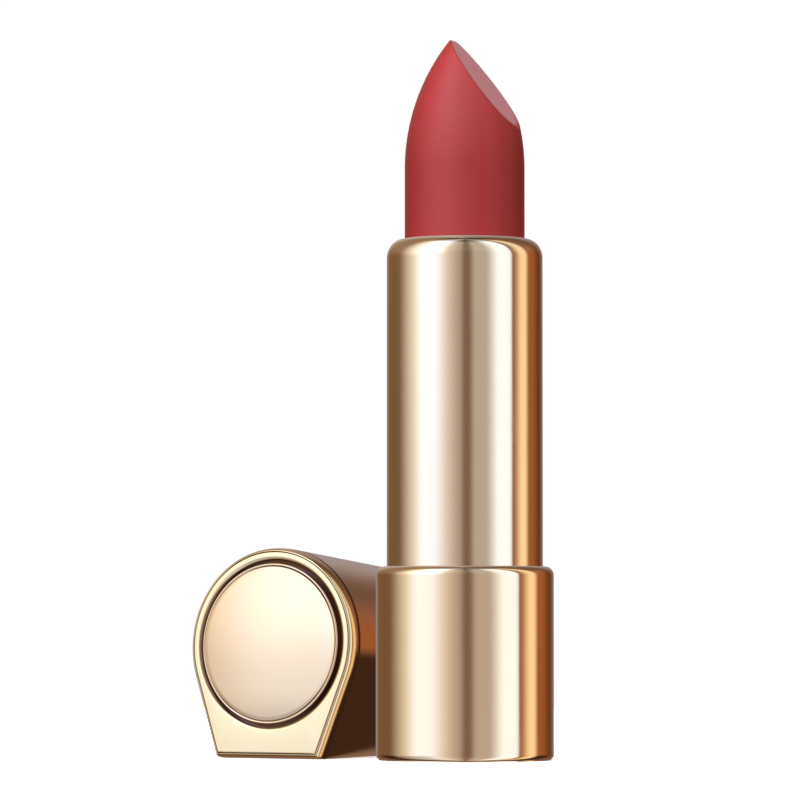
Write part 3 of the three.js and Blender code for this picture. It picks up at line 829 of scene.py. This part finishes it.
class MakeLipstickCapFrame(bpy.types.Operator):
    """Make the keyhole frame on the cap's end: a bead and a crease round it, and a soft-edged hole."""

    bl_idname = "lipstick.cap_frame"
    bl_label = "Cap end frame"

    def execute(self, context):
        cap = settings().cap
        back, front = end_levels(cap)
        face = cap.bead + cap.crease
        fold = cap.bead + cap.crease / 2
        deep = front - cap.crease_depth
        outline = [(cap.seam_chamfer, back), (0.0, back + cap.seam_chamfer)]
        outline += arc(cap.bead, front - cap.bead_depth, cap.bead, 180, 90, 12, cap.bead_depth)
        fine = 0.02 * MM
        outline += [(fold - fine, deep), (fold + fine, deep), (face, front - fine)]
        outline += [(face + 2 * fine, front - fine / 4), (face + 5 * fine, front)]
        soft = cap.hole_edge
        flat_end = cap.hole_radius + soft + FLAT_ENDS
        hole = [(flat_end, front), *arc(cap.hole_radius + soft, front - soft, soft, 90, 180, 6)]
        hole += [(cap.hole_radius, back + FLAT_ENDS), (cap.hole_radius, back)]

        bm = bmesh.new()
        polar = [math.atan2(y, x) for (x, y), _ in keyhole(face, cap)]
        rows = [keyhole_row(bm, inset, z, cap) for inset, z in outline]
        rows += [round_row(bm, r, z, polar) for r, z in hole]
        skin(bm, rows, along=True)

        def painted_shade_at(r, z):
            """Painted shade in the crease and the seam outside, and on the hole's edge, painted darker
            inwards.
            """
            if r > flat_end + 2 * FLAT_ENDS:
                seam_shaded = z < back + cap.seam_chamfer + SAME_LEVEL
                return float(seam_shaded or abs(z - deep) < SAME_LEVEL)
            return min(1.0, max(0.0, 1.3 - 2.6 * (r - cap.hole_radius) / soft))

        rim = finish_mesh(bm, "cap_end_keyhole", cap_place(), painted_shade_at)
        hand_over(rim, finish="frame", body="cap", node="cap_end_frame")
        return {"FINISHED"}


class MakeLipstickMedallion(bpy.types.Operator):
    """Turn the domed medallion, with a bead round it and a fine groove inside the bead."""

    bl_idname = "lipstick.medallion"
    bl_label = "Medallion"

    DOME_ROWS = 40

    def execute(self, context):
        cap = settings().cap
        radius, edge, groove = cap.medallion_radius, cap.medallion_edge, cap.bead_groove
        bottom = cap.shell_end + cap.medallion_back
        top = end_levels(cap)[1] + cap.medallion_proud
        face = radius - 2 * edge - groove
        middle = face + groove / 2
        ball = (face**2 + cap.dome**2) / (2 * cap.dome)
        broken, fine = 0.2 * MM, 0.02 * MM
        profile = [(0, bottom), (radius - broken, bottom), (radius, bottom + broken)]
        profile += arc(radius - edge, top - edge, edge, -5, 180, 14)
        profile += [(middle, top - edge - groove / 2), (face + fine / 2, top - fine)]
        for i in range(1, self.DOME_ROWS):
            r = face * (1 - i / self.DOME_ROWS)
            profile.append((r, top + cap.dome - ball + math.sqrt(ball**2 - r**2)))
        profile.append((0, top + cap.dome))

        def painted_shade_at(r, z):
            """Painted shade on the outer side, down in the frame's hole, and in the groove."""
            outside = r > radius - edge and z < top - 0.5 * edge
            return float(outside or abs(r - middle) < fine)

        disc = turned("medallion_domed", profile, cap_place(), 192, painted_shade_at)
        hand_over(disc, finish="disc", body="cap", node="medallion")
        return {"FINISHED"}


class MakeLipstickCapLiner(bpy.types.Operator):
    """Mould the cap's liner and set its grip ribs round the inside."""

    bl_idname = "lipstick.cap_liner"
    bl_label = "Cap liner"

    def execute(self, context):
        cap = settings().cap
        inner = cap.liner_clear + cap.rib_height
        outer = inner + cap.liner_wall
        end = cap.liner_floor + cap.liner_end
        soft = 0.4 * cap.liner_wall
        profile = [
            (0, cap.liner_floor),
            *arc(inner - soft, cap.liner_floor - soft, soft, 90, 0, 5),
            *arc(inner + soft, cap.liner_recess + soft, soft, 180, 270, 5),
            (outer, cap.liner_recess),
            (outer, end),
            (0, end),
        ]
        liner = self.with_ribs(turned("liner_cup", profile), cap)
        liner.data.transform(cap_place())
        hand_over(liner, finish="plastic", body="cap", node="cap_liner")
        return {"FINISHED"}

    def with_ribs(self, cup, cap):
        """The cup with a rounded rib repeated round its inside."""
        tree = rib_tree(FINISHES["plastic"])
        modifier = cup.modifiers.new("ribs", "NODES")
        modifier.node_group = tree
        sizes = {
            "Count": cap.rib_count,
            "Radius": cap.liner_clear + cap.rib_height,
            "Width": cap.rib_width,
            "Height": cap.rib_height,
            "Start": cap.rib_from,
            "Length": cap.rib_length,
        }
        for item in tree.interface.items_tree:
            if item.in_out == "INPUT" and item.name in sizes:
                modifier[item.identifier] = sizes[item.name]
        evaluated = cup.evaluated_get(bpy.context.evaluated_depsgraph_get())
        mesh = bpy.data.meshes.new_from_object(evaluated)
        cup.modifiers.remove(modifier)
        mesh.name = "cap_liner_ribbed"
        liner = bpy.data.objects.new("cap_liner_ribbed", mesh)
        bpy.context.scene.collection.objects.link(liner)
        bpy.data.objects.remove(cup)
        return liner


def rib_tree(finish):
    """Node tree: rounded bars at even angles round Z, joined to the geometry that comes in."""
    tree = bpy.data.node_groups.new("grip_ribs", "GeometryNodeTree")
    face = tree.interface
    face.new_socket("Geometry", in_out="INPUT", socket_type="NodeSocketGeometry")
    face.new_socket("Count", in_out="INPUT", socket_type="NodeSocketInt")
    for name in ("Radius", "Width", "Height", "Start", "Length"):
        face.new_socket(name, in_out="INPUT", socket_type="NodeSocketFloat")
    face.new_socket("Geometry", in_out="OUTPUT", socket_type="NodeSocketGeometry")
    graph = Graph(tree)
    entry = graph.node("NodeGroupInput").socket.node
    given = {socket.name: Wire(graph, socket) for socket in entry.outputs if socket.name}

    def xyz(x, y, z):
        return graph.node("ShaderNodeCombineXYZ", None, {0: x, 1: y, 2: z})

    unit = {"Vertices": 20, "Radius": 0.5, "Depth": 1.0}
    bar = graph.node("GeometryNodeMeshCylinder", {"fill_type": "TRIANGLE_FAN"}, unit)
    size = xyz(given["Height"] * 2.0, given["Width"], given["Length"])
    shift = xyz(given["Radius"], 0.0, given["Start"] + given["Length"] * 0.5)
    sized = {"Geometry": bar, "Scale": size, "Translation": shift}
    placed = graph.node("GeometryNodeTransform", None, sized)
    spots = graph.node("GeometryNodePoints", None, {"Count": given["Count"], "Radius": 0.0})
    turn = graph.node("GeometryNodeInputIndex") * (2 * math.pi) / given["Count"]
    around = {"Points": spots, "Instance": placed, "Rotation": xyz(0.0, 0.0, turn)}
    ring = graph.node("GeometryNodeInstanceOnPoints", None, around)
    both = graph.node("GeometryNodeJoinGeometry", None, {0: [ring, given["Geometry"]]})
    solid = graph.node("GeometryNodeRealizeInstances", None, {"Geometry": both})
    coated = graph.node("GeometryNodeSetMaterial", None, {"Geometry": solid, "Material": finish})
    graph.node("NodeGroupOutput", None, {0: coated})
    return tree


class FinishLipstickInside(bpy.types.Operator):
    """Give the working parts inside the case their finishes."""

    bl_idname = "lipstick.inside"
    bl_label = "Inside"

    def execute(self, context):
        for name in ("base_core", "retaining_collar", "guide_tube", "spiral_tube", "bullet_cup"):
            paint_node(name, "plastic")
        paint_node("base_weight", "steel")
        paint_node("drag_ring", "silicone")
        paint_node("medallion_pad", "foam")
        return {"FINISHED"}


# ---- stage -------------------------------------------------------------------------------------
# Soft lights that polished metal shows: where each starts to show, is full, starts to fade and is
# gone, in degrees to the right of the way back to the camera, and its colour.
LIGHTS = {
    "left_wall": (-178, -150, -70, -40, (0.05, 0.065, 0.04)),
    "front_wall": (-125, -85, 60, 95, (0.06, 0.10, 0.11)),
    "key_softbox": (-117, -68, -50, -2, (0.78, 0.80, 0.80)),
    "key_bounce": (-45, -20, -9, 1, (0.24, 0.24, 0.24)),
    "front_card": (4, 16, 66, 76, (0.33, 0.36, 0.37)),
    "fill_softbox": (29, 53, 71.5, 75, (0.68, 0.90, 1.32)),
    "gold_card": (76, 94, 99, 110, (0.80, 0.80, 0.60)),
    "rear_wall": (142, 176, 184, 214, (0.22, 0.25, 0.29)),
    "key_core": (-86, -62, -48, -22, (0.20, 0.42, 0.90)),
}
AMBER_CARD = (70, 80, 116, 140, (0.23, 0.075, 0.025))  # at the right, weaker higher up
REAR_LOW = (122, 170, 190, 238, (0.20, 0.13, 0.09))  # behind, below the horizon alone
ROOM = (0.16, 0.055, 0.022)  # all round, above the horizon
HAZE = (0.03, 0.05, 0.055)  # all round, higher up
UNDER = (0.055, 0.024, 0.014)  # all round, below the horizon
# How they change with height: from one Z of the way looked to another, and the strength at each.
AMBER_FADE = (0.3, 0.7, 1.0, 0.3)
HAZE_RISE = (0.1, 0.42, 0.0, 1.0)
LEFT_GAIN = (0.0, 0.25, 0.0, 0.42)
TOP_FADE = (0.88, 0.99, 1.0, 0.35)
HORIZON = (-0.15, -0.01, 0.0, 1.0)
# How they change round the object, in degrees as above, and the strength at each.
LEFT_SIDE = (-42, -22, 1.0, 0.0)
LOW_FRONT = (96, 112, 1.0, 0.0)
LOW_LEFT = (-60, -30, 0.5, 1.0)

# The lamps that matt surfaces see: one high on the left, a weaker one behind and an even glow.
LAMP_SIDE = math.radians(-30)
LAMP_LIFT = math.radians(42)
LAMP, REAR_LAMP, GLOW = 5.2, 1.6, 0.03
LAMP_FOCUS = 4.0
LAMP_TONE = (1.0, 0.98, 0.95, 1.0)
BACKDROP = (1.0, 1.0, 1.0, 1.0)
SENSOR_MM = 36.0


class SetLipstickStage(bpy.types.Operator):
    """Set the pale floor, the soft light and the camera."""

    bl_idname = "lipstick.stage"
    bl_label = "Stage"

    def execute(self, context):
        stage = settings().stage
        self.floor(stage)
        self.light(stage)
        self.camera(stage)
        context.scene.view_settings.view_transform = "Standard"
        return {"FINISHED"}

    def floor(self, stage):
        bm = bmesh.new()
        bmesh.ops.create_circle(bm, cap_ends=True, radius=stage.floor_radius, segments=128)
        mesh = bpy.data.meshes.new("floor")
        bm.to_mesh(mesh)
        bm.free()
        floor = bpy.data.objects.new("floor", mesh)
        floor.location.z = -stage.floor_drop
        unmirrored(floor)
        floor.visible_diffuse = False
        bpy.context.scene.collection.objects.link(floor)
        made, graph, at = material("pale_floor")
        rgb = settings().finish.floor
        pale = graph.blend(graph.noise(at, scale=12.0), shade(rgb, 0.99), shade(rgb, 1.01))
        values = {"Base Color": pale, "Roughness": 0.9, "Emission Color": pale, "Emission Strength": 0.5}
        surface(graph, values)
        dress(floor, made)

    def light(self, stage):
        """A world that is white to the camera, lamps to matt surfaces and a ring of lights to mirrors."""
        world = bpy.data.worlds.new("soft_light")
        world.use_nodes = True
        bpy.context.scene.world = world
        graph = Graph(world.node_tree)
        x, y, z = graph.parts(graph.node("ShaderNodeTexCoord", out="Generated"))
        to_camera = stage.view_azimuth - math.pi / 2
        ahead = x * math.cos(to_camera) + y * math.sin(to_camera)
        right = y * math.cos(to_camera) - x * math.sin(to_camera)

        def background(colour, strength):
            return graph.node("ShaderNodeBackground", None, {"Color": colour, "Strength": strength})

        mirrored = background(self.reflections(graph, ahead, right, z), 1.0)
        soft = background(LAMP_TONE, self.lamps(graph, ahead, right, z))
        from_camera = graph.node("ShaderNodeLightPath", out="Is Camera Ray")
        from_matt = graph.node("ShaderNodeLightPath", out="Is Diffuse Ray")
        lit = graph.node("ShaderNodeMixShader", None, {0: from_matt, 1: mirrored, 2: soft})
        seen = graph.node("ShaderNodeMixShader", None, {0: from_camera, 1: lit, 2: background(BACKDROP, 1.0)})
        graph.node("ShaderNodeOutputWorld", None, {"Surface": seen})

    def reflections(self, graph, ahead, right, z):
        """The ring of lights above the horizon, and below it a low light behind and the ring's front again."""
        turn = graph.math("ARCTAN2", right, ahead) * (180 / math.pi)
        full_turn = graph.math("FLOORED_MODULO", turn, 360.0)

        def strip(light):
            """The light's colour where it is seen, black elsewhere."""
            start, full, fade, end, rgb = light
            at = full_turn if end > 180 else turn
            return graph.scaled(rgb, graph.ramp(at, start, full) * graph.ramp(at, fade, end, 1.0, 0.0))

        amber = graph.scaled(strip(AMBER_CARD), graph.ramp(z, *AMBER_FADE))
        haze = graph.scaled(HAZE, graph.ramp(z, *HAZE_RISE))
        ring = graph.total(ROOM, *[strip(light) for light in LIGHTS.values()], amber, haze)
        gain = graph.ramp(z, *LEFT_GAIN) * graph.ramp(turn, *LEFT_SIDE)
        ring = graph.scaled(graph.scaled(ring, gain + 1.0), graph.ramp(z, *TOP_FADE))
        front = graph.scaled(ring, graph.ramp(graph.math("ABSOLUTE", turn), *LOW_FRONT))
        front = graph.scaled(front, graph.ramp(turn, *LOW_LEFT))
        below = graph.total(UNDER, strip(REAR_LOW), front)
        return graph.blend(graph.ramp(z, *HORIZON), below, ring)

    def lamps(self, graph, ahead, right, z):
        """How strongly matt surfaces are lit from each way."""
        level, up = math.cos(LAMP_LIFT), z * math.sin(LAMP_LIFT)
        lamp = ahead * (math.cos(LAMP_SIDE) * level) + right * (math.sin(LAMP_SIDE) * level) + up
        rear = up - ahead * level
        glow = GLOW + LAMP * graph.math("MAXIMUM", lamp, 0.0) ** LAMP_FOCUS
        return glow + REAR_LAMP * graph.math("MAXIMUM", rear, 0.0) ** LAMP_FOCUS

    def camera(self, stage):
        across, along = math.cos(stage.view_azimuth), math.sin(stage.view_azimuth)
        look, right = Vector((-along, across, 0.0)), Vector((across, along, 0.0))
        aim = right * stage.aim_right + Vector((0, 0, stage.aim_height))
        eye = right * stage.aim_right - look * stage.distance + Vector((0, 0, stage.eye_height))
        lens = bpy.data.cameras.new("camera")
        lens.sensor_width = SENSOR_MM
        lens.lens = SENSOR_MM * (aim - eye).length / stage.view_width
        lens.clip_start = 10 * MM
        camera = bpy.data.objects.new("camera", lens)
        camera.location = eye
        camera.rotation_euler = (aim - eye).to_track_quat("-Z", "Y").to_euler()
        bpy.context.scene.collection.objects.link(camera)
        bpy.context.scene.camera = camera


# ---- panel and registration --------------------------------------------------------------------
class LipstickPanel(bpy.types.Panel):
    """Sizes, finishes and steps of the lipstick case."""

    bl_idname = "VIEW3D_PT_lipstick"
    bl_label = "Lipstick case"
    bl_space_type = "VIEW_3D"
    bl_region_type = "UI"
    bl_category = "Lipstick"

    def draw(self, context):
        for group in ("case", "bullet", "cap", "finish", "stage"):
            part = getattr(settings(), group)
            box = self.layout.box()
            for name in part.bl_rna.properties.keys():
                if name not in ("rna_type", "name"):
                    box.prop(part, name)
        for step in STEPS:
            self.layout.operator(step.bl_idname)


STEPS = (
    MakeLipstickFinishes,
    MakeLipstickBase,
    MakeLipstickPlate,
    MakeLipstickSleeve,
    MakeLipstickBullet,
    MakeLipstickCapShell,
    MakeLipstickCapFrame,
    MakeLipstickMedallion,
    MakeLipstickCapLiner,
    FinishLipstickInside,
    SetLipstickStage,
)
CLASSES = (
    LipstickCaseSettings,
    LipstickBulletSettings,
    LipstickCapSettings,
    LipstickFinishSettings,
    LipstickStageSettings,
    LipstickSettings,
    *STEPS,
    LipstickPanel,
)


def register():
    for item in CLASSES:
        bpy.utils.register_class(item)
    bpy.types.Scene.lipstick = bpy.props.PointerProperty(
        type=LipstickSettings, name="Lipstick", description="Sizes and finishes of the lipstick case"
    )


def unregister():
    del bpy.types.Scene.lipstick
    for item in reversed(CLASSES):
        bpy.utils.unregister_class(item)


def main():
    register()
    for step in STEPS:
        group, name = step.bl_idname.split(".")
        getattr(getattr(bpy.ops, group), name)()


if __name__ == "__main__":
    main()
